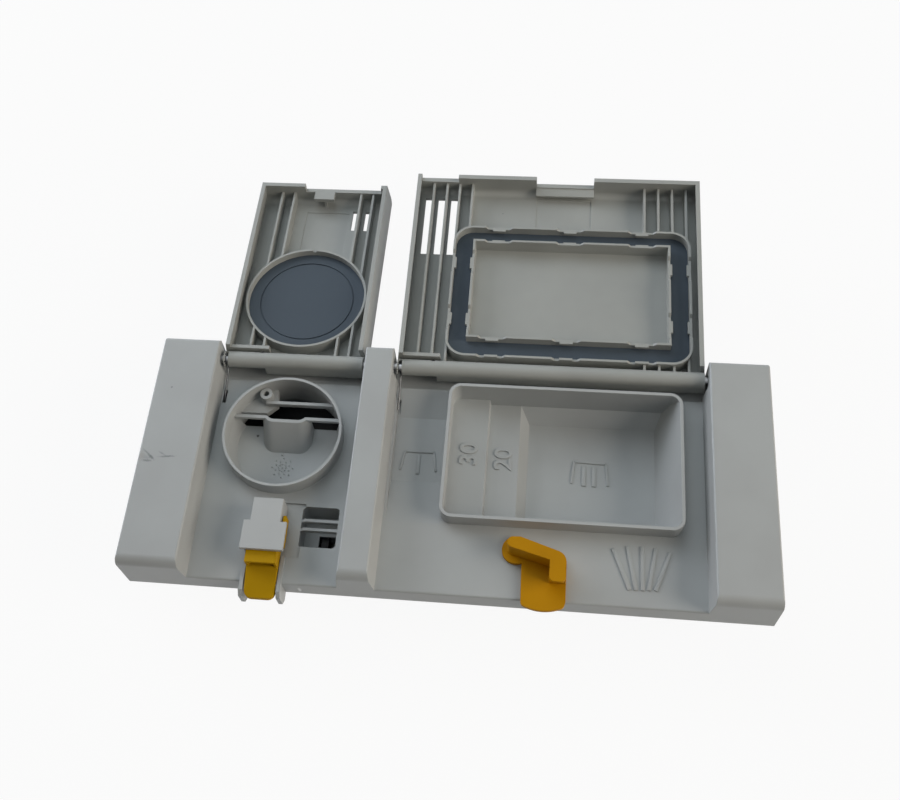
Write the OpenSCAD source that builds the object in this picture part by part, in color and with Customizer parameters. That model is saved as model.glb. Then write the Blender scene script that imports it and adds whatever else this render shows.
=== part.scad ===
// Detergent and rinse aid dispenser of a dishwasher door, lying on its back.
// X runs along the face, Y from the catch edge to the hinge edge, Z out of the door.
// The origin is under the middle of the back, where the unit rests.

/* [Housing] */
// Width of the solid end block left of the rinse aid recess
left_block_w = 24; // [23.5:0.25:25]
// Width of the rinse aid recess
rinse_recess_w = 62.4; // [62:0.2:63.6]
// Width of the bar between the two recesses
middle_bar_w = 11.7; // [11:0.1:13]
// Width of the detergent recess
detergent_recess_w = 128.2; // [127.6:0.2:130]
// Width of the solid end block right of the detergent recess
right_block_w = 23.7; // [23.5:0.25:25]
// Depth of the face from the catch edge to the hinge edge
face_d = 100.4; // [100:0.2:102]
// Height of the skirt seen along the catch edge
skirt_h = 22; // [21:0.5:23.5]
// Depth of the recess floors below the block tops
floor_depth = 12.4; // [12.2:0.1:13]
// Wall thickness of the mouldings
wall_t = 2.2; // [1.8:0.1:2.4]
// Slope of each recess wall over the recess depth
wall_draft = 1.5; // [1.2:0.1:1.6]
// Total depth of the unit from block top to back plate
unit_h = 40; // [38:0.5:44]

/* [Hinges] */
// Distance of the hinge axis from the hinge edge
hinge_inset = 5.6; // [5:0.1:6]
// Depth of the hinge axis below the block tops
hinge_depth = 6.7; // [6.6:0.1:7]
// Radius of the lid barrels
barrel_r = 3.35; // [3.2:0.05:3.4]
// Radius of the steel hinge pins
pin_r = 1.5; // [1.3:0.1:1.6]
// Running clearance of the barrels and shafts
running_gap = 0.05; // [0.03:0.01:0.08]
// Opening angle of the rinse aid lid in the photo
rinse_open = 184; // [150:1:184]
// Opening angle of the detergent lid in the photo
detergent_open = 178; // [150:1:182]

/* [Lids] */
// Gap between a lid and its recess on each side
lid_gap = 0.35; // [0.25:0.05:0.5]
// Thickness of the lid walls
lid_wall = 2; // [1.6:0.1:2.2]
// Thickness of the lid plates
lid_plate = 1.5; // [1.3:0.1:1.6]
// Thickness of the stiffening ribs
rib_t = 1; // [0.8:0.1:1.2]
// Radius of the rounded front edges of blocks and lids
front_edge_r = 3.8; // [3:0.2:4]

/* [Rinse aid side] */
// Outer radius of the filler collar
collar_r = 24.6; // [24:0.1:24.8]
// Wall of the filler collar
collar_wall = 1.1; // [0.9:0.1:1.4]
// Radius of the filler well at its floor
well_floor_r = 21.5; // [20:0.25:22]
// Depth of the collar rim below the block tops
collar_rim_depth = 4.9; // [4.7:0.1:5.2]
// Depth of the filler well below the block tops
well_depth = 21; // [19:0.5:22]

/* [Detergent side] */
// Depth of the chamber rim below the block tops
chamber_rim_depth = 5; // [4.8:0.1:5.3]
// Depth of the 30 step below the block tops
step_30_depth = 16.5; // [16:0.1:17]
// Depth of the 20 step below the block tops
step_20_depth = 20.5; // [20:0.1:21.5]
// Depth of the chamber bottom below the block tops
chamber_depth = 27; // [26:0.25:28]
// Depth of the prewash pocket below the block tops
prewash_depth = 16; // [15:0.25:16.5]

/* [Catches] */
// Radius of the lever shaft
shaft_r = 2.5; // [2:0.1:2.8]
// Radius of the crank under the lever
crank_r = 6; // [5.5:0.1:6]

/* [Hidden] */
$fn = 48;
grey = [0.62, 0.63, 0.63];
yellow = [0.79, 0.55, 0.04];
rubber = [0.28, 0.32, 0.37];
steel = [0.66, 0.67, 0.68];
white = [0.85, 0.85, 0.83];
brass = [0.78, 0.66, 0.38];
copper = [0.62, 0.36, 0.22];
// Overshoot of cuts, so that no cut ends on a face
over = 1;

// Places across the face, from its left end
rinse_x0 = left_block_w;
rinse_x1 = rinse_x0 + rinse_recess_w;
det_x0 = rinse_x1 + middle_bar_w;
det_x1 = det_x0 + detergent_recess_w;
face_w = det_x1 + right_block_w;
hinge_y = face_d - hinge_inset;
hinge_z = -hinge_depth;
floor_z = -floor_depth;
floor_under = floor_z - wall_t;
// Round corners of the bezel at the hinge edge, in plan
corner_r = 1.8;

// The trough under the barrels, where the open lids lie
trough_y = hinge_y - 6.8;
trough_z = floor_z - 2.7;
// Behind this line the recess walls are upright, so that the wide side of a lid swings past
swing_y = hinge_y - barrel_r - 1.2;

// The casing that passes through the door
casing_inset = 9;
casing_front = 12;
casing_r = 6;
casing_t = 2;
casing_x0 = casing_inset;
casing_x1 = face_w - casing_inset;
casing_y0 = casing_front;
casing_y1 = face_d - casing_inset;
back_t = 2;
back_z = -unit_h;
inside_z = back_z + back_t;
gasket_inset = 2.5;
gasket_groove = 3;
gasket_h = 5.5;

// The lids, in their own frame: closed, with the hinge axis at y 0 and z 0
lid_top = hinge_depth;
lid_under = lid_top - lid_plate;
lid_rim = -(floor_depth - hinge_depth) + 0.8;
lid_front = -hinge_y - 1.2;
lid_rear = 3.3;
lid_rear_r = 1.8;
rib_rim = -0.9;
slit_y = barrel_r + 0.85;
slit_wall = 1.6;
// Depth of the shallow recesses in the inner faces of the lid plates
recess_t = 0.3;
lid_taper = wall_draft * (lid_top - lid_rim) / floor_depth;

// Filler collar and what stands in it
collar_x = rinse_x0 + 31.4;
collar_y = hinge_y - 33.1;
ring_r = 26.6;
groove_r = 20.5;
ring_y = collar_y - hinge_y - 0.6;
ring_rim = -1;
weir_y = collar_y + 8.3;
post_x = collar_x - 9.9;
post_y = collar_y + 18.1;
post_top = -8;
bar_y = collar_y + 15.2;
bar_top = -10;
ledge_top = -13;
spout_x0 = collar_x - 10.8;
spout_x1 = collar_x + 9.8;
spout_y = collar_y + 6.2;
spout_lean = 39;
spout_wall = 1.1;
spout_r = 5;

// Detergent chamber, outer plan
chamber_x0 = det_x0 + 24;
chamber_x1 = det_x1 - 10.1;
chamber_y0 = 28.9;
chamber_y1 = hinge_y - 7.2;
chamber_wall = 1.3;
chamber_r = 5;
step_30_x = chamber_x0 + 16.4;
step_20_x = chamber_x0 + 29.4;
deep_x0 = chamber_x0 + 33.1;
deep_x1 = chamber_x1 - 9.2;
deep_y0 = chamber_y0 + 2;
deep_y1 = chamber_y1 - 6.8;

// Seal channel of the detergent lid, round the chamber rim
channel_x0 = chamber_x0 - 3.7;
channel_x1 = chamber_x1 + 4.4;
channel_y0 = chamber_y0 - hinge_y - 4.7;
channel_y1 = chamber_y1 - hinge_y + 1.5;
channel_r = 8.5;
channel_rim = -2.2;
channel_in_x0 = chamber_x0 + 4.9;
channel_in_x1 = chamber_x1 - 4.3;
channel_in_y0 = chamber_y0 - hinge_y + 2.3;
channel_in_y1 = chamber_y1 - hinge_y - 7.4;
seal_gap = 0.3;
// Notches in the channel walls, and the hooks in them that hold the seal
hook_x = [for (i = [0 : 2]) chamber_x0 + 15.8 + 31 * i];
hook_y = [channel_y0 + 18.6, channel_y0 + 46.6];
hook_w = 5.5;
hook_out = 0.8;
notch_w = 12;
notch_h = 1.3;

// Latch of the rinse aid lid
latch_x = collar_x;
button_front = 5.5;
button_top = -5;
catch_bottom = -1.7;
catch_top = 0.2;
catch_w = 9.4;
catch_reach = 5.3;
cheek_t = 1.6;
cheek_out = 5.5;

// Lever of the detergent lid
lever_x = det_x0 + 54.7;
lever_y = 19.2;
lever_gap = 0.2;
lever_base_t = 1.6;
grip_end = 23.2;
grip_arc = 17.7;
arm_top = -2;
// Rear edge of the strip in the detergent lid that the lever's nose grips
strip_end = 4.4 - hinge_y;
notch_x0 = det_x0 + 55.2;
notch_x1 = det_x0 + 80.6;
crank_z = -24.5;
crank_pin_r = 1.3;
slider_z = -28.5;
slider_t = 2;
slider_y0 = lever_y + 3.8;
slider_y1 = lever_y + 8.7;

// Solenoid that pulls the slider
coil_x0 = lever_x + 21;
coil_x1 = coil_x0 + 30;
coil_y = 21.2;
coil_z = -28;
coil_r = 6.2;
plunger_r = 3.6;
push_rod_r = 1.5;
yoke_t = 1.5;
yoke_y0 = coil_y - coil_r - 0.2;
yoke_y1 = coil_y + coil_r + 0.2;
yoke_top = coil_z + coil_r + 1.3;
terminal_z = -35.5;
plunger_head = coil_x1 + 9;
plug_x = coil_x0 - 9.3;

// Rinse aid tank, float and dosing rod
tank_x0 = left_block_w - 2;
tank_x1 = det_x0 + 1.9;
tank_y0 = 33;
tank_wall = 1.8;
float_x = rinse_x1 + 1;
float_z = -30;
float_y = collar_y;
dose_x = latch_x + 19.6;
dose_z = -31.5;
guide_y = 26;
wedge_y = guide_y - 11.4;
rod_r = 1.5;

// Screws and bosses at the back: x and y of each
boss_r = 3.6;
screw_r = 1.4;
screws = [[17, 53], [44, 22], [tank_x1 + 11, 60], [lever_x - 28, 19], [det_x1 - 3.3, 53],
    [face_w - 29, 20]];
fixing_r = 1.6;
fixing_x = [17, face_w - 17];
fixing_y = [22, 82];
fixing_l = 12;

// Moves a shape from its place on the face to the frame of the whole unit
module on_unit() translate([-face_w / 2, -face_d / 2, unit_h]) children();

// Extrudes a profile of Y and Z along X
module along_x(x0, x1) translate([x0, 0, 0]) rotate([90, 0, 90]) linear_extrude(x1 - x0) children();

// Extrudes a profile of X and Z along Y
module along_y(y0, y1) translate([0, y1, 0]) rotate([90, 0, 0]) linear_extrude(y1 - y0) children();

// Block between two corners
module block(x0, x1, y0, y1, z0, z1) translate([x0, y0, z0]) cube([x1 - x0, y1 - y0, z1 - z0]);

// Rectangle with round corners in plan
module round_plan(x0, x1, y0, y1, r) {
    translate([x0 + r, y0]) square([x1 - x0 - 2 * r, y1 - y0]);
    translate([x0, y0 + r]) square([x1 - x0, y1 - y0 - 2 * r]);
    for (x = [x0 + r, x1 - r], y = [y0 + r, y1 - r]) translate([x, y]) circle(r);
}

// Upright prism of a plan between two heights
module upright(z0, z1) translate([0, 0, z0]) linear_extrude(z1 - z0) children();

// Side outline with round top edges, from y0 to y1 and z0 to z1
module side_outline(y0, y1, z0, z1, front_r, rear_r) {
    translate([y0 + front_r, z0]) square([y1 - y0 - front_r - rear_r, z1 - z0]);
    translate([y0, z0]) square([front_r, z1 - z0 - front_r]);
    translate([y1 - rear_r, z0]) square([rear_r, z1 - z0 - rear_r]);
    translate([y0 + front_r, z1 - front_r]) circle(front_r);
    translate([y1 - rear_r, z1 - rear_r]) circle(rear_r);
}

// Front outline with sloping sides, broken top edges and an upright foot: slopes in mm over the height
module front_outline(x0, x1, z0, z1, slope0, slope1, edge, foot = 0) {
    k = edge / (z1 - z0);
    polygon([[x0 - slope0, z0 - foot], [x0 - slope0, z0], [x0 - slope0 * k, z1 - edge], [x0 + edge, z1],
        [x1 - edge, z1], [x1 + slope1 * k, z1 - edge], [x1 + slope1, z0], [x1 + slope1, z0 - foot]]);
}

// Round bar along X, Y or Z
module bar_x(x0, x1, y, z, r) translate([x0, y, z]) rotate([0, 90, 0]) cylinder(h = x1 - x0, r = r);
module bar_y(y0, y1, x, z, r) translate([x, y1, z]) rotate([90, 0, 0]) cylinder(h = y1 - y0, r = r);
module bar_z(z0, z1, x, y, r) translate([x, y, z0]) cylinder(h = z1 - z0, r = r);

// Round wire swept along points, with its section set square to a reference axis
function unit(v) = v / norm(v);
function wire_turn(p, i) = unit(p[min(i + 1, len(p) - 1)] - p[max(i - 1, 0)]);
function wire_ring(p, i, r, ref, sides) =
    let (t = wire_turn(p, i), a = unit(cross(t, ref)), b = cross(t, a))
    [for (k = [0 : sides - 1]) p[i] + r * (cos(360 * k / sides) * a + sin(360 * k / sides) * b)];
module wire(p, r, ref, sides = 6) {
    n = len(p);
    rings = [for (i = [0 : n - 1]) each wire_ring(p, i, r, ref, sides)];
    walls = [for (i = [0 : n - 2], k = [0 : sides - 1])
        let (m = (k + 1) % sides, a = i * sides, b = (i + 1) * sides)
        each [[a + k, b + m, a + m], [a + k, b + k, b + m]]];
    ends = [[for (k = [0 : sides - 1]) k], [for (k = [sides - 1 : -1 : 0]) (n - 1) * sides + k]];
    polyhedron(rings, concat(walls, ends), convexity = 6);
}

// Points of a coil whose axis is X, from x0 to x1, in the plane of y and z round 0
function coil_points(x0, x1, r, turns, start, steps = 12) =
    [for (i = [0 : turns * steps]) [x0 + (x1 - x0) * i / (turns * steps),
        r * cos(start + 360 * i / steps), r * sin(start + 360 * i / steps)]];

// Plan of the bezel, with round corners at the hinge edge
module bezel_plan() {
    square([face_w, face_d - corner_r]);
    translate([corner_r, 0]) square([face_w - 2 * corner_r, face_d]);
    for (x = [corner_r, face_w - corner_r]) translate([x, face_d - corner_r]) circle(corner_r);
}

// Bezel: floor body and three blocks with sloping inner sides
module bezel_outer() {
    along_x(0, face_w) side_outline(0, face_d, -skirt_h, floor_z, 0.8, 0.8);
    intersection() {
        along_x(-over, face_w + over) side_outline(0, face_d, -skirt_h, 0, front_edge_r, 1.6);
        union() {
            along_y(-over, face_d + over) front_outline(0, rinse_x0, floor_z, 0, 0, wall_draft, 0.5, 2);
            along_y(-over, face_d + over)
                front_outline(rinse_x1, det_x0, floor_z, 0, wall_draft, wall_draft, 0.5, 2);
            along_y(-over, face_d + over) front_outline(det_x1, face_w, floor_z, 0, wall_draft, 0, 0.5, 2);
        }
    }
}

// Hollow of the blocks and of the casing behind the floor
module bezel_inner() {
    front = front_edge_r + 0.8;
    rear = trough_y - 2;
    along_y(front, rear)
        front_outline(wall_t, rinse_x0 - wall_t, floor_under - over, -wall_t, 0, wall_draft, 0.5);
    along_y(front, rear) front_outline(rinse_x1 + wall_t, det_x0 - wall_t, floor_under - over, -wall_t,
        wall_draft, wall_draft, 0.5);
    along_y(front, rear)
        front_outline(det_x1 + wall_t, face_w - wall_t, floor_under - over, -wall_t, wall_draft, 0, 0.5);
    upright(-skirt_h - over, floor_under)
        round_plan(casing_x0 + casing_t, casing_x1 - casing_t, casing_y0 + casing_t, trough_y - wall_t, 4);
    upright(-skirt_h - over, trough_z - wall_t)
        round_plan(casing_x0 + casing_t, casing_x1 - casing_t, casing_y0 + casing_t, casing_y1 - casing_t, 4);
}

// Groove of the door gasket between skirt and casing
module gasket_plan(outer_gap, inner_gap) difference() {
    round_plan(gasket_inset + outer_gap, face_w - gasket_inset - outer_gap, gasket_inset + outer_gap,
        face_d - gasket_inset - outer_gap, 4);
    round_plan(casing_x0 - inner_gap, casing_x1 + inner_gap, casing_y0 - inner_gap,
        casing_y1 + inner_gap, casing_r);
}

module casing_wall() upright(inside_z, -skirt_h + over) difference() {
    round_plan(casing_x0, casing_x1, casing_y0, casing_y1, casing_r);
    round_plan(casing_x0 + casing_t, casing_x1 - casing_t, casing_y0 + casing_t, casing_y1 - casing_t, 4);
}

// Tank walls inside the casing
module tank_walls() difference() {
    block(tank_x0, tank_x1, tank_y0, casing_y1 - over, inside_z, floor_under + 0.4);
    block(tank_x0 + tank_wall, tank_x1 - tank_wall, tank_y0 + tank_wall, casing_y1, inside_z - over,
        floor_under);
}

// Detergent chamber: the tub seen from outside, then its cavity
module chamber_tub() intersection() {
    upright(-chamber_depth - 2, -chamber_rim_depth)
        round_plan(chamber_x0, chamber_x1, chamber_y0, chamber_y1, chamber_r);
    along_y(0, face_d) polygon([[chamber_x0, 0], [chamber_x0, -step_30_depth - 1.6],
        [step_30_x - 1, -step_30_depth - 1.6], [step_30_x - 1, -step_20_depth - 1.6],
        [step_20_x - 1, -step_20_depth - 1.6], [deep_x0 - 1, -chamber_depth - 2],
        [deep_x1 + 1.4, -chamber_depth - 2], [chamber_x1, -chamber_rim_depth - 2], [chamber_x1, 0]]);
}

module chamber_cavity() intersection() {
    upright(-chamber_depth, over)
        round_plan(chamber_x0 + chamber_wall, chamber_x1 - chamber_wall, chamber_y0 + chamber_wall,
            chamber_y1 - chamber_wall, chamber_r - chamber_wall);
    along_y(0, face_d) polygon([[chamber_x0, over], [chamber_x0, -step_30_depth],
        [step_30_x, -step_30_depth], [step_30_x + 0.3, -step_20_depth], [step_20_x, -step_20_depth],
        [deep_x0, -chamber_depth], [deep_x1, -chamber_depth], [chamber_x1 - chamber_wall, -chamber_rim_depth],
        [chamber_x1, over]]);
    along_x(0, face_w) polygon([[chamber_y0, over], [chamber_y0 + chamber_wall, -chamber_rim_depth],
        [deep_y0, -chamber_depth], [deep_y1, -chamber_depth], [chamber_y1 - chamber_wall, -step_20_depth],
        [chamber_y1 - chamber_wall, -chamber_rim_depth], [chamber_y1, over]]);
}

// Prewash pocket left of the chamber: a shallow dish with two ramps
module prewash_cavity() along_x(det_x0 + 2.6, chamber_x0)
    polygon([[chamber_y0 - 0.4, floor_z + over], [chamber_y0 - 0.4, floor_z], [47.5, -prewash_depth],
        [hinge_y - 19, -prewash_depth], [hinge_y - 7.4, floor_z], [hinge_y - 7.4, floor_z + over]]);

module prewash_tub() block(det_x0 + 1, chamber_x0 + over, chamber_y0 - 2, trough_y, -prewash_depth - 1.8,
    floor_under + over);

// Filler well: tub, its cavity, and the fittings left standing in it
module well_tub() bar_z(-well_depth - 1.5, -collar_rim_depth, collar_x, collar_y, collar_r);

module well_cavity() {
    taper_z = -well_depth * 0.6;
    bar_z(taper_z, over, collar_x, collar_y, collar_r - collar_wall);
    translate([collar_x, collar_y, -well_depth])
        cylinder(h = taper_z + well_depth, r1 = well_floor_r, r2 = collar_r - collar_wall);
    intersection() {
        bar_z(-well_depth - 2 * over, 0, collar_x, collar_y, collar_r - collar_wall);
        union() {
            block(0, face_w, weir_y + 0.7, face_d, -unit_h, 0);
            spout(spout_wall);
        }
    }
}

// Leaning spout of the well: a tube with round corners, cut level at the height of the bars
module spout(inset) intersection() {
    translate([0, spout_y, bar_top]) rotate([-spout_lean, 0, 0])
        upright(-30, 20) round_plan(spout_x0 + inset, spout_x1 - inset, inset, 30, spout_r - inset);
    block(0, face_w, 0, weir_y + 0.7, -unit_h, bar_top);
}

module well_fittings() intersection() {
    bar_z(-well_depth - 1.4, 0, collar_x, collar_y, collar_r - collar_wall / 2);
    union() {
        difference() {
            block(0, face_w, weir_y - 0.7, weir_y + 0.7, -well_depth - 1.4, bar_top);
            block(0, face_w, weir_y - over, weir_y + over, -well_depth, bar_top - 1.6);
            spout(spout_wall / 2);
        }
        difference() {
            spout(0);
            spout(spout_wall);
        }
        difference() {
            union() {
                bar_z(ledge_top - over, post_top, post_x, post_y, 2.6);
                upright(ledge_top - 3, ledge_top)
                    polygon([[collar_x - 25, weir_y + 3], [collar_x - 9.4, weir_y + 3.2], [collar_x - 5.4, bar_y],
                        [collar_x - 5.4, bar_y + 2], [post_x + 1, face_d], [collar_x - 25, face_d]]);
            }
            bar_z(-well_depth, 0, post_x, post_y, 1.2);
        }
        block(post_x, collar_x + 25, bar_y - 0.7, bar_y + 0.7, bar_top - 2.4, bar_top);
    }
}

// Barred outlet beside the latch, and the shallow channel next to it
outlet_x0 = collar_x + 12.1;
outlet_x1 = outlet_x0 + 14.8;
outlet_y0 = 15.5;
outlet_y1 = 32.3;
module outlet_tub() block(outlet_x0 - 1.2, outlet_x1 + 1.2, outlet_y0 - 1.2, outlet_y1 + 1.2, -25.2,
    floor_under + over);
module outlet_cavity() {
    difference() {
        upright(-24, floor_z + over) round_plan(outlet_x0, outlet_x1, outlet_y0, outlet_y1, 1.5);
        for (y = [outlet_y0 + 7.4, outlet_y0 + 11.1])
            block(outlet_x0 - over, outlet_x1 + over, y - 0.6, y + 0.6, floor_under, floor_z);
    }
    block(outlet_x0 + 6, outlet_x1 - 1, outlet_y0 + 1.5, outlet_y0 + 9, -26, -23);
    block(outlet_x0 - 8.5, outlet_x0 + over, 10.7, 33.4, floor_z - 0.9, floor_z + over);
}

// Grey guards on both sides of the button, standing out over the catch edge
module cheeks() for (x = [latch_x - 6.8 - cheek_t, latch_x + 6.4]) along_x(x, x + cheek_t)
    polygon([[11, floor_z - 0.5], [11, floor_z + 0.9], [-cheek_out + 2, floor_z + 0.9],
        [-cheek_out, floor_z - 1.2], [-cheek_out, -skirt_h + 1.5], [-cheek_out + 2.4, -skirt_h - 1],
        [0, -skirt_h - 1], [0.5, -skirt_h + 0.5], [0.5, floor_z - 0.5]]);

// Boss of the lever shaft under the floor
module shaft_boss() bar_z(-20.8, floor_under + over, lever_x, lever_y, 5.4);

// Bosses reach up to the floor, or to the roof inside the end blocks
function boss_top(x) = (x < rinse_x0 || x > det_x1) ? -wall_t + 0.5 : floor_under + 0.5;
module rear_bosses() {
    for (s = screws) bar_z(inside_z, boss_top(s[0]), s[0], s[1], boss_r);
    for (x = fixing_x, y = fixing_y) bar_z(inside_z, boss_top(x), x, y, 4.2);
}

// Guide of the dosing rod on the tank's front wall
module dose_guide() {
    block(dose_x - 5, dose_x + 5, guide_y, guide_y + 2, dose_z - 4, dose_z + 2.3);
    for (x = [dose_x - 5, dose_x + 3.8])
        block(x, x + 1.2, guide_y, tank_y0 + over, dose_z - 4, dose_z + 2.3);
}

// Main moulding: bezel, recess floors, collar, chamber and the casing behind them
module housing() color(grey) on_unit() difference() {
    union() {
        difference() {
            intersection() {
                bezel_outer();
                upright(-skirt_h - over, over) bezel_plan();
            }
            bezel_inner();
            upright(-skirt_h - over, -skirt_h + gasket_groove) gasket_plan(0, 0);
            block(rinse_x0 + wall_draft, rinse_x1 - wall_draft, trough_y, face_d + over, trough_z, 0);
            block(det_x0 + wall_draft, det_x1 - wall_draft, trough_y, face_d + over, trough_z, 0);
            block(rinse_x0, rinse_x1, swing_y, face_d + over, trough_z, over);
            block(det_x0, det_x1, swing_y, face_d + over, trough_z, over);
        }
        casing_wall();
        tank_walls();
        chamber_tub();
        prewash_tub();
        well_tub();
        outlet_tub();
        cheeks();
        shaft_boss();
        rear_bosses();
        dose_guide();
    }
    chamber_cavity();
    prewash_cavity();
    difference() {
        well_cavity();
        well_fittings();
    }
    outlet_cavity();
    for (s = screws) bar_z(inside_z - over, inside_z + 14, s[0], s[1], screw_r);
    for (x = fixing_x, y = fixing_y) bar_z(inside_z - over, inside_z + fixing_l, x, y, fixing_r);
    bar_z(-22, 0, lever_x, lever_y, shaft_r + running_gap);
    bar_z(-22, -18, lever_x, lever_y, shaft_r + 1.6);
    bar_x(rinse_x0 - 10, rinse_x1 + 5, hinge_y, hinge_z, pin_r);
    bar_x(det_x0 - 5, det_x1 + 10, hinge_y, hinge_z, pin_r);
    for (x = [rinse_x0 + 2.1, det_x0 + 2.1])
        block(x, x + 1.5, hinge_y - 18, hinge_y - 12, floor_under - over, floor_z + over);
    bar_y(tank_y0 + tank_wall - 1, tank_y0 + tank_wall + over, float_x, float_z, rod_r);
    bar_y(casing_y1 - casing_t - over, casing_y1 - casing_t + 1, float_x, float_z, rod_r);
    bar_y(tank_y0 - over, tank_y0 + tank_wall + over, dose_x, dose_z, 3);
    bar_y(guide_y - over, guide_y + 3, dose_x, dose_z, rod_r + running_gap);
}

// Back plate of the rinse aid tank, welded on
module tank_shell() color(rubber) on_unit() {
    block(tank_x0 - 2, tank_x1 + 2, tank_y0 - 2, casing_y1 - casing_t - 0.2, back_z, inside_z);
    difference() {
        block(tank_x0 + tank_wall, tank_x1 - tank_wall, tank_y0 + tank_wall, casing_y1 - casing_t,
            inside_z, inside_z + 1.6);
        block(tank_x0 + tank_wall + 1.2, tank_x1 - tank_wall - 1.2, tank_y0 + tank_wall + 1.2,
            casing_y1 - casing_t - 1.2, inside_z, inside_z + 2);
    }
}

// Screwed back plate over the mechanism, with the opening for the plug of the wiring
module mechanism_cover() color(white) on_unit() difference() {
    upright(back_z, inside_z) round_plan(casing_x0, casing_x1, casing_y0, casing_y1, casing_r);
    block(tank_x0 - 2.2, tank_x1 + 2.2, tank_y0 - 2.2, face_d, back_z - over, inside_z + over);
    for (s = screws) bar_z(back_z - over, inside_z + over, s[0], s[1], screw_r + 0.3);
    for (s = screws) bar_z(back_z - over, back_z + 1, s[0], s[1], 3.2);
    for (x = fixing_x, y = fixing_y) bar_z(back_z - over, inside_z + over, x, y, 4.4);
    block(plug_x, coil_x0 - yoke_t - 0.5, coil_y - 6.2, coil_y + 6.2, back_z - over, inside_z + over);
}

// Six like screws that hold the back plate
module cover_screws() color(steel) on_unit() for (s = screws) {
    bar_z(back_z + 1, inside_z + 10, s[0], s[1], screw_r);
    difference() {
        bar_z(back_z + 0.1, back_z + 1, s[0], s[1], 2.9);
        block(s[0] - 2, s[0] + 2, s[1] - 0.4, s[1] + 0.4, back_z, back_z + 0.6);
        block(s[0] - 0.4, s[0] + 0.4, s[1] - 2, s[1] + 2, back_z, back_z + 0.6);
    }
}

module door_gasket() color(rubber) on_unit()
    upright(-skirt_h + gasket_groove - gasket_h, -skirt_h + gasket_groove) gasket_plan(0.4, 0);

// Cover of the latch: a tee of plate with legs down to the floor
module latch_cover() color(grey) on_unit() {
    plate_z = -3;
    under_z = plate_z - 1.3;
    block(latch_x - 8.6, latch_x + 8.5, 10.2, 21.7, under_z, plate_z);
    block(latch_x - 6, latch_x + 5.9, 21.6, 31.3, under_z, plate_z);
    block(latch_x - 8.6, latch_x + 8.5, 10.2, 11.2, under_z - 0.5, under_z + 0.2);
    for (x = [latch_x - 6, latch_x + 4.7]) block(x, x + 1.2, 22.2, 31.3, floor_z, under_z + 0.2);
    block(latch_x - 6, latch_x + 5.9, 30.1, 31.3, floor_z, under_z + 0.2);
    block(latch_x - 8.6, latch_x - 7.4, 12.5, 21.7, floor_z, under_z + 0.2);
}

// Hinge pins
module rinse_hinge_pin() color(steel) on_unit() bar_x(rinse_x0 - 10, rinse_x1 + 5, hinge_y, hinge_z, pin_r);
module detergent_hinge_pin() color(steel) on_unit() bar_x(det_x0 - 5, det_x1 + 10, hinge_y, hinge_z, pin_r);

// Turns a lid from its own closed frame to its open place on the face
module opened(angle) translate([0, hinge_y, hinge_z]) rotate([-angle, 0, 0]) children();

// Lid between two recess walls: plate and skirt, open over the spring, and the barrel
module lid_body(recess_x0, recess_x1, slit_x) {
    x0 = recess_x0 + lid_gap;
    x1 = recess_x1 - lid_gap;
    barrel_x0 = recess_x0 + 1.4;
    barrel_x1 = recess_x1 - 1.4;
    difference() {
        union() {
            difference() {
                intersection() {
                    along_x(x0 - over, x1 + over) lid_side();
                    along_y(lid_front - over, lid_rear + over) lid_front_wide(x0, x1);
                }
                lid_cavity(x0, x1);
                block(x0 - over, slit_x, -slit_y, lid_rear + over, -barrel_r, lid_top + over);
            }
            bar_x(barrel_x0, barrel_x1, 0, 0, barrel_r);
        }
        leg_gaps(barrel_x0, slit_x);
        bar_x(x0 - over, x1 + over, 0, 0, pin_r + running_gap);
        bar_x(x0 - over, slit_x - 0.8, 0, 0, barrel_r - 0.6);
    }
}

module lid_front_wide(x0, x1) polygon([[x0 + lid_taper, lid_rim], [x0, lid_top - 0.6], [x0 + 0.6, lid_top],
    [x1 - 0.6, lid_top], [x1, lid_top - 0.6], [x1 - lid_taper, lid_rim]]);

module lid_side() {
    side_outline(lid_front, -slit_y, lid_rim, lid_top, front_edge_r, 0.01);
    side_outline(-slit_y - over, lid_rear, 0, lid_top, 0.01, lid_rear_r);
}

module lid_cavity(x0, x1) intersection() {
    along_x(x0 - over, x1 + over) lid_cavity_side();
    along_y(lid_front, lid_rear) polygon([[x0 + lid_taper + lid_wall, lid_rim - over],
        [x0 + lid_wall, lid_under], [x1 - lid_wall, lid_under], [x1 - lid_taper - lid_wall, lid_rim - over]]);
}

module lid_cavity_side()
    side_outline(lid_front + lid_wall, -barrel_r + 0.2, lid_rim - over, lid_under, front_edge_r - 0.9, 0.01);

// Gaps in the barrel for the two legs of the spring
module leg_gaps(x0, x1) {
    for (turn = [50, 85]) along_x(x0 + 0.5, x0 + 2)
        rotate(turn) translate([-5, -5]) square([10, 5]);
    block(x1 - 2.4, x1 - 0.9, -barrel_r - over, 0, -2.6, 0.9);
}

// Wall that closes a lid beside its slit
module slit_rib(x0, x1)
    block(x0 + lid_wall, x1 + rib_t, -slit_y - slit_wall, -slit_y, -barrel_r + 0.6, lid_under + 0.2);

// Stiffening rib across a lid
module lid_rib(x, y0, y1, rim = rib_rim) block(x - rib_t / 2, x + rib_t / 2, y0, y1, rim, lid_under + 0.2);

module vent(x0, x1, y0, y1) block(x0, x1, y0, y1, lid_under - over, lid_top + over);

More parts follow.
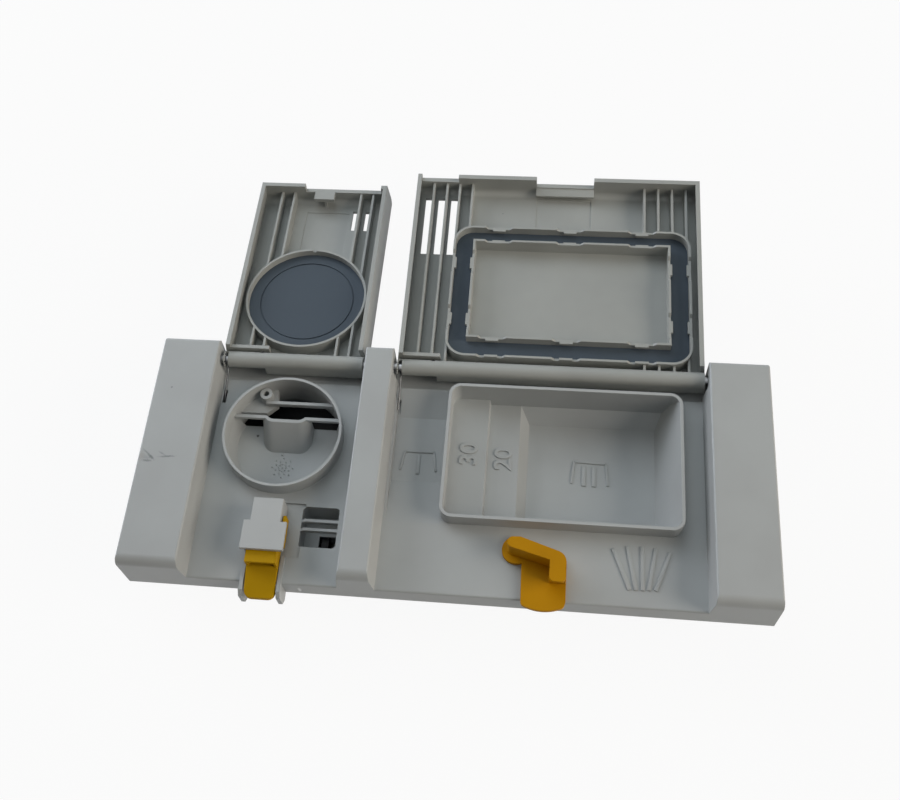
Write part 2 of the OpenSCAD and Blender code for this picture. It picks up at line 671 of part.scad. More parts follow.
module rinse_lid() color(grey) on_unit() opened(rinse_open) {
    slit_x = rinse_x0 + 19.2;
    inner_front = lid_front + lid_wall - 0.2;
    difference() {
        lid_body(rinse_x0, rinse_x1, slit_x);
        block(collar_x - 9.1, rinse_x1 - 4.6, lid_front - over, lid_front + lid_wall + over,
            lid_rim - over, -1.4);
        for (x = [collar_x + 13.2, collar_x + 19]) vent(x, x + 1.8, lid_front + 7.6, lid_front + 19);
        block(collar_x - 8.5, collar_x + 11.6, lid_front + 9, ring_y - 20, lid_under - over, lid_under + recess_t);
    }
    slit_rib(rinse_x0, slit_x);
    difference() {
        for (x = [-20.2, -14.4, 17, 22.7]) lid_rib(collar_x + x, inner_front, -barrel_r + 0.5);
        bar_z(lid_rim - over, lid_under, collar_x, ring_y, ring_r - 0.5);
        block(rinse_x0, slit_x, -slit_y, 0, -barrel_r, lid_under + over);
    }
    difference() {
        bar_z(ring_rim, lid_under + recess_t + 0.2, collar_x, ring_y, ring_r);
        bar_z(ring_rim - over, lid_under, collar_x, ring_y, ring_r - 1);
        block(collar_x - 0.8, collar_x + 0.8, ring_y - ring_r - over, ring_y - ring_r + 2,
            ring_rim - over, ring_rim + 1);
    }
    block(collar_x - catch_w / 2, collar_x + catch_w / 2, inner_front, catch_reach - hinge_y,
        catch_bottom, catch_top);
    lid_rib(collar_x, inner_front, catch_reach - hinge_y - 1.5, catch_top - 0.2);
}

// Seal disc of the filler, with a fine groove round its middle
module rinse_lid_seal() color(rubber) on_unit() opened(rinse_open) difference() {
    seal_face = hinge_depth - collar_rim_depth + seal_gap;
    bar_z(seal_face, lid_under, collar_x, ring_y, ring_r - 1);
    difference() {
        bar_z(seal_face - over, seal_face + 0.4, collar_x, ring_y, groove_r + 0.3);
        bar_z(seal_face - 2 * over, seal_face + over, collar_x, ring_y, groove_r - 0.3);
    }
}

// Frame of the seal channel: outer wall with round corners, inner wall with square ones
module channel_outer(inset) round_plan(channel_x0 + inset, channel_x1 - inset, channel_y0 + inset,
    channel_y1 - inset, channel_r - inset);
module channel_inner(inset) translate([channel_in_x0 + inset, channel_in_y0 + inset])
    square([channel_in_x1 - channel_in_x0 - 2 * inset, channel_in_y1 - channel_in_y0 - 2 * inset]);

// Notches through the channel walls, wide at the rim
module channel_notches() {
    half = notch_w / 2;
    deep = channel_rim + notch_h;
    for (x = hook_x) along_y(channel_y0 - over, channel_y1 + over)
        polygon([[x - half - over, channel_rim - over], [x - half + notch_h, deep], [x + half - notch_h, deep],
            [x + half + over, channel_rim - over]]);
    for (y = hook_y) along_x(channel_x0 - over, channel_x1 + over)
        polygon([[y - half - over, channel_rim - over], [y - half + notch_h, deep], [y + half - notch_h, deep],
            [y + half + over, channel_rim - over]]);
}

// Hooks over the seal: plain tabs at the hinge side, where the chamber wall swings past
module channel_hooks() {
    z0 = channel_rim + notch_h;
    z1 = z0 + 1.2;
    half = hook_w / 2;
    for (x = hook_x) {
        block(x - half, x + half, channel_y0 + 0.5, channel_y0 + 1 + hook_out, z0, z1);
        block(x - half, x + half, channel_in_y0 - 0.5, channel_in_y0 + 0.5, z0, z1);
        block(x - half, x + half, channel_in_y1 - 0.5, channel_in_y1 + hook_out, z0, z1);
        block(x - half, x + half, channel_y1 - 1, channel_y1, z0 - 1, z0 + 0.2);
    }
    for (y = hook_y) {
        block(channel_x0 + 0.5, channel_x0 + 1 + hook_out, y - half, y + half, z0, z1);
        block(channel_in_x0 - hook_out, channel_in_x0 + 0.5, y - half, y + half, z0, z1);
        block(channel_in_x1 - 0.5, channel_in_x1 + hook_out, y - half, y + half, z0, z1);
        block(channel_x1 - 1 - hook_out, channel_x1 - 0.5, y - half, y + half, z0, z1);
    }
}

module detergent_lid() color(grey) on_unit() opened(detergent_open) {
    slit_x = det_x0 + 17.9;
    inner_front = lid_front + lid_wall - 0.2;
    difference() {
        lid_body(det_x0, det_x1, slit_x);
        block(det_x0 + 3.6, det_x0 + 20.2, lid_front - over, lid_front + lid_wall + over, lid_rim - over, -1.9);
        block(notch_x0, notch_x1, lid_front - over, lid_front + lid_wall + over, lid_rim - over, 0.4);
        for (x = [5.1, 10.9, 16.7]) vent(det_x0 + x, det_x0 + x + 3, lid_front + 6.4, lid_front + 36.4);
        block(notch_x0 + 0.3, notch_x1 - 0.8, strip_end, channel_y0, lid_under - over, lid_under + recess_t);
    }
    slit_rib(det_x0, slit_x);
    along_x(notch_x0 - 0.2, notch_x1 + 0.2)
        polygon([[lid_front, 0.4], [strip_end, 1.8], [strip_end, 2.8], [lid_front + 0.5, 1.6]]);
    for (x = [9.1, 15.1]) lid_rib(det_x0 + x, inner_front, -slit_y - slit_wall + 0.2);
    for (x = [channel_x0 + 6.3, channel_x1 - 19.6, channel_x1 - 13.6, channel_x1 - 7.6])
        lid_rib(x, inner_front, channel_y0 + 0.8);
    for (x = [channel_x1 - 19.6, channel_x1 - 13.6, channel_x1 - 7.6])
        lid_rib(x, channel_y1 - 0.8, -barrel_r + 0.5);
    for (end = [[channel_x0 + 0.5, 6], [channel_x1 - 1.6, 4.5]]) {
        lid_rib(end[0], inner_front, channel_y0 + end[1]);
        lid_rib(end[0], channel_y1 - end[1], -barrel_r + 0.5);
    }
    difference() {
        upright(channel_rim, lid_under + 0.2) {
            difference() {
                channel_outer(0);
                channel_outer(1);
            }
            difference() {
                channel_inner(0);
                channel_inner(1);
            }
        }
        channel_notches();
    }
    channel_hooks();
}

module detergent_lid_seal() color(rubber) on_unit() opened(detergent_open)
    upright(hinge_depth - chamber_rim_depth + seal_gap, lid_under) difference() {
        channel_outer(1);
        channel_inner(0);
    }

// Torsion spring of a lid: coil on the pin, one leg to the floor slot, one hook in the slit
module lid_spring(recess_x0, slit_x) on_unit() translate([0, hinge_y, hinge_z]) {
    coil_r0 = 2.1;
    wire_r = 0.32;
    leg_x = recess_x0 + 2.75;
    coil_end = slit_x - 1.65;
    floor_leg = [[leg_x, -16.5, floor_z - hinge_z - 1.5], [leg_x, -13.9, floor_z - hinge_z],
        [leg_x, -5, -3.6], [leg_x, -2, -2.6]];
    hook = [[coil_end, 1, coil_r0], [coil_end, 3.6, 1.4]];
    wire(concat(floor_leg, coil_points(leg_x, coil_end, coil_r0, 6.5, -90), hook), wire_r, [1, 0, 0]);
}

module rinse_lid_spring() color(steel) lid_spring(rinse_x0, rinse_x0 + 19.2);
module detergent_lid_spring() color(steel) lid_spring(det_x0, det_x0 + 17.9);

// Yellow button of the rinse aid lid, which slides under its cover
module latch_button() color(yellow) on_unit() difference() {
    union() {
        block(latch_x - 6.2, latch_x + 6, button_front, 21, floor_z + 0.3, button_top);
        block(latch_x - 4.4, latch_x + 4.4, 20, 25, floor_z + 0.3, button_top);
        block(latch_x - 6.6, latch_x + 7.6, 13.5, 20.5, floor_z + 2, button_top);
        block(latch_x + 6.4, latch_x + 7.6, 13.5, 25, floor_z + 2, button_top);
        intersection() {
            along_x(latch_x - 6.2, latch_x + 6)
                polygon([[button_front + 2, -9.4], [button_front, -9.4], [-6, -12.9], [-6.2, -14.5], [-5, -14.6],
                    [-1, -13.4], [-1, floor_z + 0.3], [button_front + 2, floor_z + 0.3]]);
            upright(-skirt_h, 0) round_plan(latch_x - 6.2, latch_x + 6, -6.2, face_d, 3);
        }
    }
    block(latch_x - 5.1, latch_x + 5.1, button_front - over, button_front + 6, -9.4, button_top - 1.3);
}

module latch_spring() color(steel) on_unit() translate([latch_x, 0, -8.4]) rotate([0, 0, 90])
    wire(coil_points(25.3, 29.8, 2, 4, 0), 0.3, [1, 0, 0]);

// Yellow lever of the detergent lid: base plate, cranked rib with its nose, and shaft
module detergent_lever() color(yellow) on_unit() translate([lever_x, lever_y, 0]) {
    base_z = floor_z + lever_gap;
    base_top = base_z + lever_base_t;
    bar_z(base_z, base_top, 0, 0, 5.5);
    upright(base_z, base_top) intersection() {
        polygon([[1.4, 5.3], [16.1, 0.7], [19.3, -3.2], [19.3, -grip_end - over], [2.6, -grip_end - over],
            [2.2, -5.6]]);
        translate([10.75, grip_arc - grip_end]) circle(grip_arc);
        round_plan(2.2, 19.3, -grip_end, 8, 4.5);
    }
    upright(base_z, arm_top) {
        polygon([[-1.1, 2.2], [1.5, 2.3], [16.12, -2.54], [14.8, -6.53], [13, -6.2], [-1.7, -2.1]]);
        translate([-1.1, 0]) circle(2.2);
        intersection() {
            translate([14.8, -6.53]) circle(4.2);
            translate([12.8, -8]) square([6.2, 8]);
        }
    }
    intersection() {
        along_x(12.8, 19)
            polygon([[-6, base_z], [-6, arm_top], [-14.4, arm_top], [-14.4, arm_top - 1.2],
                [-12.3, arm_top - 2.4], [-12.3, base_z]]);
        upright(base_z, 0) {
            round_plan(12.8, 19, -14.4, -8, 2);
            translate([12.8, -9]) square([6.2, 2.47]);
        }
    }
    bar_z(-26.5, base_top, 0, 0, shaft_r);
}

// Crank under the floor, pressed on the shaft's lower end
module lever_crank() color(white) on_unit() translate([lever_x, lever_y, 0]) {
    difference() {
        union() {
            bar_z(crank_z, crank_z + 3, 0, 0, 4.6);
            block(-2.2, 2.2, 0, crank_r, crank_z, crank_z + 2);
            bar_z(crank_z, crank_z + 2, 0, crank_r, 2.2);
        }
        bar_z(crank_z - over, crank_z + 4, 0, 0, shaft_r);
    }
    bar_z(slider_z - 0.8, crank_z, 0, crank_r, crank_pin_r);
}

module lever_seal_ring() color(rubber) on_unit() translate([lever_x, lever_y, -20]) difference() {
    cylinder(h = 2, r = shaft_r + 1.6);
    translate([0, 0, -over]) cylinder(h = 4, r = shaft_r + running_gap);
}

// Slider from the plunger past the crank pin to the dosing rod
module release_slider() color(white) on_unit() difference() {
    top = slider_z + slider_t;
    union() {
        block(lever_x - 5, coil_x0 - 10, slider_y0, slider_y1, slider_z, top);
        block(dose_x - 1, lever_x - 4, slider_y1 - 2.1, slider_y1, slider_z, top);
        block(dose_x - 1, dose_x + 2, wedge_y, slider_y1, slider_z, top);
        upright(dose_z - 1.5, slider_z + 0.5)
            polygon([[dose_x + 2, wedge_y], [dose_x + 2, wedge_y + 3], [dose_x + 1, wedge_y + 3],
                [dose_x - 1, wedge_y + 2], [dose_x - 1, wedge_y]]);
        block(coil_x0 - 12, coil_x0 - 10, coil_y - 4.5, slider_y1, coil_z - 4.5, coil_z + 4.5);
    }
    block(lever_x - crank_pin_r - 0.1, lever_x + crank_pin_r + 0.1, slider_y0 + 0.7, slider_y1 - 0.7,
        slider_z - over, top + over);
}

// Plunger at the far end of the coil, with a thin rod through it that pushes the slider
module solenoid_plunger() color(steel) on_unit() {
    bar_x(coil_x0 - 10, coil_x0 + 9, coil_y, coil_z, push_rod_r);
    bar_x(coil_x0 + 8, plunger_head, coil_y, coil_z, plunger_r);
    bar_x(plunger_head, plunger_head + 1.2, coil_y, coil_z, plunger_r + 1.6);
}

module plunger_spring() color(steel) on_unit() translate([0, coil_y, coil_z])
    wire(coil_points(coil_x1 + yoke_t + 0.5, plunger_head - 0.5, plunger_r + 0.7, 4, 0), 0.4, [1, 0, 0]);

module solenoid_coil() color(copper) on_unit() difference() {
    bar_x(coil_x0, coil_x1, coil_y, coil_z, coil_r);
    bar_x(coil_x0 - over, coil_x1 + over, coil_y, coil_z, plunger_r + running_gap);
}

// Bent steel yoke round the coil, standing on the back plate
module solenoid_yoke() color(steel) on_unit() difference() {
    union() {
        block(coil_x0 - yoke_t, coil_x1 + yoke_t, yoke_y0, yoke_y1, inside_z, inside_z + yoke_t);
        block(coil_x0 - yoke_t, coil_x0, yoke_y0, yoke_y1, inside_z, yoke_top);
        block(coil_x1, coil_x1 + yoke_t, yoke_y0, yoke_y1, inside_z, yoke_top);
    }
    bar_x(coil_x0 - 2 * yoke_t, coil_x0 + over, coil_y, coil_z, push_rod_r + running_gap);
    bar_x(coil_x1 - over, coil_x1 + 2 * yoke_t, coil_y, coil_z, plunger_r + running_gap);
}

module terminal_block() color(white) on_unit()
    block(coil_x0 - yoke_t - 5, coil_x0 - yoke_t, coil_y - 5.6, coil_y + 5.6, terminal_z,
        coil_z - push_rod_r - 0.8);

// Two blades that reach through the opening in the back plate
module coil_terminals() color(brass) on_unit() for (y = [coil_y - 4.4, coil_y + 1.2])
    block(coil_x0 - yoke_t - 3, coil_x0 - yoke_t - 2.2, y, y + 3.2, back_z + 0.6, terminal_z);

module float_rod() color(steel) on_unit()
    bar_y(tank_y0 + tank_wall - 1, casing_y1 - casing_t + 1, float_x, float_z, rod_r);

module float() color(white) on_unit() difference() {
    bar_y(float_y - 9, float_y + 9, float_x, float_z, 6);
    bar_y(float_y - 10, float_y + 10, float_x, float_z, rod_r + running_gap);
    bar_y(float_y + 5, float_y + 10, float_x, float_z, 4.5);
}

module float_magnet() color(steel) on_unit() difference() {
    bar_y(float_y + 5, float_y + 9, float_x, float_z, 4.5);
    bar_y(float_y + 4, float_y + 10, float_x, float_z, rod_r + running_gap);
}

module reed_switch() color(rubber) on_unit() block(tank_x1, tank_x1 + 5, float_y - 8, float_y + 18, -36, -31);

// Rod that lifts the rubber seal off the outlet in the tank wall
module dosing_rod() color(white) on_unit() {
    bar_y(wedge_y + 3.2, tank_y0 + tank_wall + 4, dose_x, dose_z, rod_r);
    bar_y(wedge_y + 5.8, wedge_y + 7, dose_x, dose_z, 3);
}

module dosing_seal() color(rubber) on_unit() difference() {
    bar_y(tank_y0 + tank_wall, tank_y0 + tank_wall + 1.6, dose_x, dose_z, 4.6);
    bar_y(tank_y0, tank_y0 + 5, dose_x, dose_z, rod_r);
}

module dosing_spring() color(steel) on_unit() translate([dose_x, 0, dose_z]) rotate([0, 0, 90])
    wire(coil_points(wedge_y + 7.5, guide_y - 0.5, rod_r + 0.6, 4, 0), 0.3, [1, 0, 0]);

housing();
tank_shell();
mechanism_cover();
cover_screws();
door_gasket();
latch_cover();
rinse_hinge_pin();
detergent_hinge_pin();
rinse_lid();
rinse_lid_seal();
detergent_lid();
detergent_lid_seal();
rinse_lid_spring();
detergent_lid_spring();
latch_button();
latch_spring();
detergent_lever();
lever_crank();
lever_seal_ring();
release_slider();
solenoid_plunger();
plunger_spring();
solenoid_coil();
solenoid_yoke();
terminal_block();
coil_terminals();
float_rod();
float();
float_magnet();
reed_switch();
dosing_rod();
dosing_seal();
dosing_spring();
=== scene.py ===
import math
import bpy
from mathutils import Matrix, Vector


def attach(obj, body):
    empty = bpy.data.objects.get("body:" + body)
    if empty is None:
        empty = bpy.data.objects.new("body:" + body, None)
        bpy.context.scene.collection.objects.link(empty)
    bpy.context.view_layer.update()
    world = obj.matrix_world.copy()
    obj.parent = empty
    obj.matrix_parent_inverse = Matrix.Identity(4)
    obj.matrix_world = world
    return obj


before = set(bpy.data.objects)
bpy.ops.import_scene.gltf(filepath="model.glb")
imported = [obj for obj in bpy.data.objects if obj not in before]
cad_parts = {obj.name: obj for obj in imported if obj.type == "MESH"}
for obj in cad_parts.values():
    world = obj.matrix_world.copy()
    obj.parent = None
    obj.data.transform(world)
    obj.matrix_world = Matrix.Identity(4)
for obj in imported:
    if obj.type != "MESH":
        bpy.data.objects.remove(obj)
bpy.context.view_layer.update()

# The studio: a pale table between windows at the left rear and on the right, as in the photo.
# The camera stands in front of the catch edge and looks down on the face at about 59 degrees.
# The white of the background is only what camera, glossy and glass rays see of room and table.
CAMERA_AT = (0.03592, -0.18919, 0.45580)
CAMERA_TURNED = (30.305, 4.4908, 5.5599)
SENSOR_MM = 36
LENS_MM = 46.556
SHIFT_X = 0.04405
SHIFT_Y = -0.0583
LAMPS_AIM = Vector((0, 0, 0.03))
SKY_STRENGTH = 0.04
TABLE_LONG = 4
TABLE_DOWN = 0.0002
LIT_SHARE = 0.93


def linear(hex_colour):
    parts = [int(hex_colour[i:i + 2], 16) / 255 for i in (1, 3, 5)]
    return [p / 12.92 if p <= 0.04045 else ((p + 0.055) / 1.055) ** 2.4 for p in parts] + [1.0]


def emptied(holder):
    """The given material or world, ready for its own nodes."""
    holder.use_nodes = True
    holder.node_tree.nodes.clear()
    return holder


def add_node(material, kind, inputs=None, **settings):
    made = material.node_tree.nodes.new(kind)
    for name, value in settings.items():
        setattr(made, name, value)
    for socket, value in (inputs or {}).items():
        if isinstance(value, bpy.types.NodeSocket):
            material.node_tree.links.new(value, made.inputs[socket])
        else:
            made.inputs[socket].default_value = value
    return made


def looked_at(material):
    """1 for a camera, glossy or glass ray, 0 for a ray that carries light to the object."""
    path = add_node(material, "ShaderNodeLightPath").outputs
    plain = add_node(material, "ShaderNodeMath", {
        0: path["Is Camera Ray"], 1: path["Is Glossy Ray"]}, operation="MAXIMUM")
    return add_node(material, "ShaderNodeMath", {
        0: plain.outputs[0], 1: path["Is Transmission Ray"]}, operation="MAXIMUM").outputs[0]


camera = bpy.data.objects.new("camera", bpy.data.cameras.new("camera"))
bpy.context.scene.collection.objects.link(camera)
camera.location = CAMERA_AT
camera.rotation_euler = [math.radians(a) for a in CAMERA_TURNED]
camera.data.sensor_width = SENSOR_MM
camera.data.lens = LENS_MM
camera.data.shift_x = SHIFT_X
camera.data.shift_y = SHIFT_Y
camera.data.clip_start = 0.01
bpy.context.scene.camera = camera
bpy.context.scene.view_settings.view_transform = "Standard"

world = emptied(bpy.data.worlds.new("white room"))
sky = add_node(world, "ShaderNodeBackground", {
    "Color": linear("#E4E8EC"), "Strength": SKY_STRENGTH})
paper = add_node(world, "ShaderNodeBackground", {"Color": (1, 1, 1, 1), "Strength": 1.0})
mixed = add_node(world, "ShaderNodeMixShader", {
    0: looked_at(world), 1: sky.outputs[0], 2: paper.outputs[0]})
add_node(world, "ShaderNodeOutputWorld", {"Surface": mixed.outputs[0]})
bpy.context.scene.world = world

for name, place, size, power, tint in (
        ("rear window", (-0.25, 0.75, 1.05), 0.9, 3.7, "#E9F7FF"),
        ("left rear window", (-0.90, 0.60, 0.35), 0.8, 10.5, "#F3F7FF"),
        ("right window", (1.10, -0.20, 0.55), 0.8, 12.3, "#FFF5E7"),
        ("ceiling", (0.15, -0.10, 1.30), 1.2, 1.7, "#F5FFFF"),
        ("left wall", (-1.10, -0.25, 0.55), 0.8, 1.0, "#FFF5E7")):
    lamp = bpy.data.objects.new(name, bpy.data.lights.new(name, "AREA"))
    bpy.context.scene.collection.objects.link(lamp)
    lamp.data.size = size
    lamp.data.energy = power
    lamp.data.color = linear(tint)[:3]
    lamp.location = place
    lamp.rotation_euler = (LAMPS_AIM - Vector(place)).to_track_quat("-Z", "Y").to_euler()

table_paint = emptied(bpy.data.materials.new("matt white table paint"))
paint = add_node(table_paint, "ShaderNodeBsdfDiffuse", {
    "Color": linear("#D8D9D9"), "Roughness": 0.6})
lit = add_node(table_paint, "ShaderNodeEmission", {"Color": (1, 1, 1, 1), "Strength": 1.0})
share = add_node(table_paint, "ShaderNodeMath", {
    0: looked_at(table_paint), 1: LIT_SHARE}, operation="MULTIPLY")
both = add_node(table_paint, "ShaderNodeMixShader", {
    0: share.outputs[0], 1: paint.outputs[0], 2: lit.outputs[0]})
add_node(table_paint, "ShaderNodeOutputMaterial", {"Surface": both.outputs[0]})
bpy.ops.object.select_all(action="DESELECT")
bpy.ops.mesh.primitive_grid_add(x_subdivisions=8, y_subdivisions=8, size=TABLE_LONG,
                                location=(0, 0, -TABLE_DOWN))
table = bpy.context.object
table.name = "table"
table.data.materials.append(table_paint)

# Main moulding: grey ABS, injection moulded with a fine spark-eroded grain and rounded edges.
# It looks even and half matt. Years of use leave dark grey scuffs on the left block and a few
# specks of dirt. A near-white spot at the front is a painted highlight, and a black spot in the
# filler well is painted shade. The grain is drawn at 0.5 mm, because the real 0.1 mm can't show.
MM = 0.001
BEZEL_W = 250
BEZEL_D = 100.4
BLOCK_TOP = 40
EDGE_R = 0.3
CLOUD_MM = 35.714
DIRT_MM = 4.762
FRAY_MM = 0.5263
SMEAR_AND_PAINTED_LIGHT_DEEP = 3
DIRT = "#6B6D6A"
SCUFF = "#626867"


def face(x, y, z):
    """A place on the face, in mm from its front left corner and its block tops, in metres."""
    return Vector(((x - BEZEL_W / 2) * MM, (y - BEZEL_D / 2) * MM, (z + BLOCK_TOP) * MM))


def moulded(name, clean, shaded, grain_mm=0.5, speck_from=0.80, smears_and_painted_light=(), shine=(0.42, 0.56),
            sheen=0.5):
    """Moulded plastic: slow drift of shade, specks of dirt, smears, fine grain, rounded edges.

    A smear has its place, turn in degrees, half length and width in mm, strength and colour.
    Most smears are scuffs; a few are spots of painted highlight and painted shade.
    """
    made = emptied(bpy.data.materials.new(name))
    place = add_node(made, "ShaderNodeTexCoord").outputs["Object"]
    clouds = add_node(made, "ShaderNodeTexNoise", {
        "Vector": place, "Scale": 1 / (CLOUD_MM * MM), "Detail": 3, "Roughness": 0.55})
    tint = add_node(made, "ShaderNodeValToRGB", {"Fac": clouds.outputs["Fac"]})
    tint.color_ramp.elements[0].position = 0.35
    tint.color_ramp.elements[0].color = linear(shaded)
    tint.color_ramp.elements[1].position = 0.62
    tint.color_ramp.elements[1].color = linear(clean)
    dirt = add_node(made, "ShaderNodeTexNoise", {
        "Vector": place, "Scale": 1 / (DIRT_MM * MM), "Detail": 2})
    specks = add_node(made, "ShaderNodeMapRange", {
        "Value": dirt.outputs["Fac"], "From Min": speck_from, "From Max": speck_from + 0.06})
    colour = add_node(made, "ShaderNodeMixRGB", {
        "Fac": specks.outputs["Result"], "Color1": tint.outputs["Color"],
        "Color2": linear(DIRT)}).outputs["Color"]
    # Each smear is painted in its colour: scuffs, and spots of painted highlight and painted shade.
    for centre, turned, long, wide, amount, stain_and_painted_light in smears_and_painted_light:
        local = add_node(made, "ShaderNodeMapping", {
            "Vector": place, "Location": centre, "Rotation": (0, 0, math.radians(turned)),
            "Scale": (long * MM, wide * MM, SMEAR_AND_PAINTED_LIGHT_DEEP * MM)}, vector_type="TEXTURE")
        away = add_node(made, "ShaderNodeVectorMath", {0: local.outputs["Vector"]},
                        operation="LENGTH")
        frayed = add_node(made, "ShaderNodeTexNoise", {
            "Vector": place, "Scale": 1 / (FRAY_MM * MM), "Detail": 2})
        edge = add_node(made, "ShaderNodeMath", {
            0: frayed.outputs["Fac"], 1: away.outputs["Value"]}, operation="ADD")
        inside = add_node(made, "ShaderNodeMapRange", {
            "Value": edge.outputs[0], "From Min": 1.45, "From Max": 0.7, "To Max": amount})
        colour = add_node(made, "ShaderNodeMixRGB", {
            "Fac": inside.outputs["Result"], "Color1": colour,
            "Color2": linear(stain_and_painted_light)}).outputs["Color"]
    grain = add_node(made, "ShaderNodeTexNoise", {
        "Vector": place, "Scale": 1 / (grain_mm * MM), "Detail": 2})
    gloss = add_node(made, "ShaderNodeMapRange", {
        "Value": clouds.outputs["Fac"], "To Min": shine[0], "To Max": shine[1]})
    rounded = add_node(made, "ShaderNodeBevel", {"Radius": EDGE_R * MM}, samples=4)
    bump = add_node(made, "ShaderNodeBump", {
        "Height": grain.outputs["Fac"], "Strength": 0.12, "Distance": 0.08 * MM,
        "Normal": rounded.outputs["Normal"]})
    shader = add_node(made, "ShaderNodeBsdfPrincipled", {
        "Base Color": colour, "Roughness": gloss.outputs["Result"],
        "Specular IOR Level": sheen, "Normal": bump.outputs["Normal"], "IOR": 1.53})
    add_node(made, "ShaderNodeOutputMaterial", {"Surface": shader.outputs[0]})
    return made


def finish_node(name, material):
    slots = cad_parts[name].data.materials
    slots.clear()
    slots.append(material)


housing_abs = moulded("grey ABS, spark-eroded", "#A4A7A7", "#9EA0A0", smears_and_painted_light=(
    (face(3.6, 46.2, 0), -38, 4.2, 0.6, 0.55, SCUFF),
    (face(5.4, 44.6, 0), -36, 2.4, 0.8, 0.9, SCUFF),
    (face(3.9, 42.9, 0), -3, 2.6, 0.7, 0.7, SCUFF),
    (face(3.4, 44.3, 0), -20, 3.0, 1.6, 0.3, SCUFF),
    (face(9.6, 46.4, 0), -28, 2.4, 0.5, 0.5, SCUFF),
    (face(12.3, 45.3, 0), 4, 3.6, 0.55, 0.8, SCUFF),
    (face(10.2, 44.9, 0), 2, 3.0, 0.5, 0.4, SCUFF),
    (face(1.4, 44.9, 0), 90, 3.0, 1.6, 0.5, "#8F8A84"),
    (face(7.5, 76.5, 0), 0, 0.6, 0.6, 0.8, SCUFF),
    # A near-white spot at the front: painted highlight.
    (face(69.7, 0, -18.1), 10, 0.9, 0.7, 0.95, "#EDEFEF"),
    # A black spot on the filler well's floor: painted shade at its opening.
    (face(41.6, 66.2, -21), 0, 0.85, 0.85, 1.0, "#050505")))
finish_node("housing", housing_abs)
finish_node("latch_cover", moulded("grey ABS, latch cover", "#ABADAD", "#A5A7A7"))

# Marks on the face: 30 and 20 on the dosing steps, spray signs in the chamber and the prewash
# pocket, a fan of rays, and a star of dots in the filler well. They are engraved in the mould,
# so they are of the same ABS and stand 0.5 mm proud. Here each goes as deep into the floor.
MARK_H = 0.5
STROKE_MM = 0.12
NUMERAL_LONG = 9.9
NUMERAL_TALL = 7.3
STEP_30_Z = -16.5
STEP_20_Z = -20.5
CHAMBER_Z = -27.0
POCKET_Z = -16.0
RECESS_Z = -12.4
WELL_Z = -21.0
STAR_X = 54.3
STAR_Y = 52.2
STAR_DOT_R = 0.35


def raised_line(x0, y0, x1, y1, z, width):
    """A bar with softened edges from one point of the face to another."""
    start, end = face(x0, y0, z), face(x1, y1, z)
    run = end - start
    bpy.ops.object.select_all(action="DESELECT")
    bpy.ops.mesh.primitive_cube_add(size=1, location=(start + end) / 2,
                                    rotation=(0, 0, math.atan2(run.y, run.x)),
                                    scale=(run.length + width * MM, width * MM, 2 * MARK_H * MM))
    bar = bpy.context.object
    bpy.ops.object.transform_apply(location=True, rotation=True, scale=True)
    soft = bar.modifiers.new("soft edge", "BEVEL")
    soft.width = 0.1 * MM
    soft.segments = 2
    bpy.ops.object.modifier_apply(modifier="soft edge")
    return bar


def numerals(word, x, y, z):
    """Digits that read towards the hinge side, as thin raised strokes."""
    bpy.ops.object.select_all(action="DESELECT")
    bpy.ops.object.text_add(location=(0, 0, 0))
    text = bpy.context.object
    text.data.body = word
    text.data.size = NUMERAL_TALL * MM
    text.data.extrude = MARK_H * MM
    text.data.offset = STROKE_MM * MM
    text.data.resolution_u = 6
    bpy.ops.object.convert(target="MESH")
    text = bpy.context.object
    bpy.ops.object.origin_set(type="ORIGIN_GEOMETRY", center="BOUNDS")
    text.scale = (NUMERAL_LONG * MM / text.dimensions.x, NUMERAL_TALL * MM / text.dimensions.y, 1)
    text.rotation_euler = (0, 0, math.radians(90))
    text.location = face(x, y, z)
    bpy.ops.object.transform_apply(location=True, rotation=True, scale=True)
    bpy.ops.object.mode_set(mode="EDIT")
    bpy.ops.mesh.select_all(action="SELECT")
    bpy.ops.mesh.remove_doubles(threshold=0.001 * MM)
    bpy.ops.mesh.normals_make_consistent(inside=False)
    bpy.ops.object.mode_set(mode="OBJECT")
    return text


def raised_dot(x, y, radius):
    """A low round stud on the floor of the filler well."""
    bpy.ops.object.select_all(action="DESELECT")
    bpy.ops.mesh.primitive_cone_add(vertices=10, radius1=radius * MM, radius2=0.55 * radius * MM,
                                    depth=2 * MARK_H * MM, location=face(x, y, WELL_Z))
    dot = bpy.context.object
    bpy.ops.object.transform_apply(location=True, rotation=True, scale=True)
    return dot


def one_piece(parts, name):
    """The parts joined into one mark, finished in the housing's ABS and fixed to the frame."""
    bpy.ops.object.select_all(action="DESELECT")
    for part in parts:
        part.select_set(True)
    bpy.context.view_layer.objects.active = parts[0]
    bpy.ops.object.join()
    mark = bpy.context.object
    mark.name = name
    bpy.ops.object.shade_smooth_by_angle(angle=math.radians(35))
    mark.data.materials.clear()
    mark.data.materials.append(housing_abs)
    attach(mark, "frame")


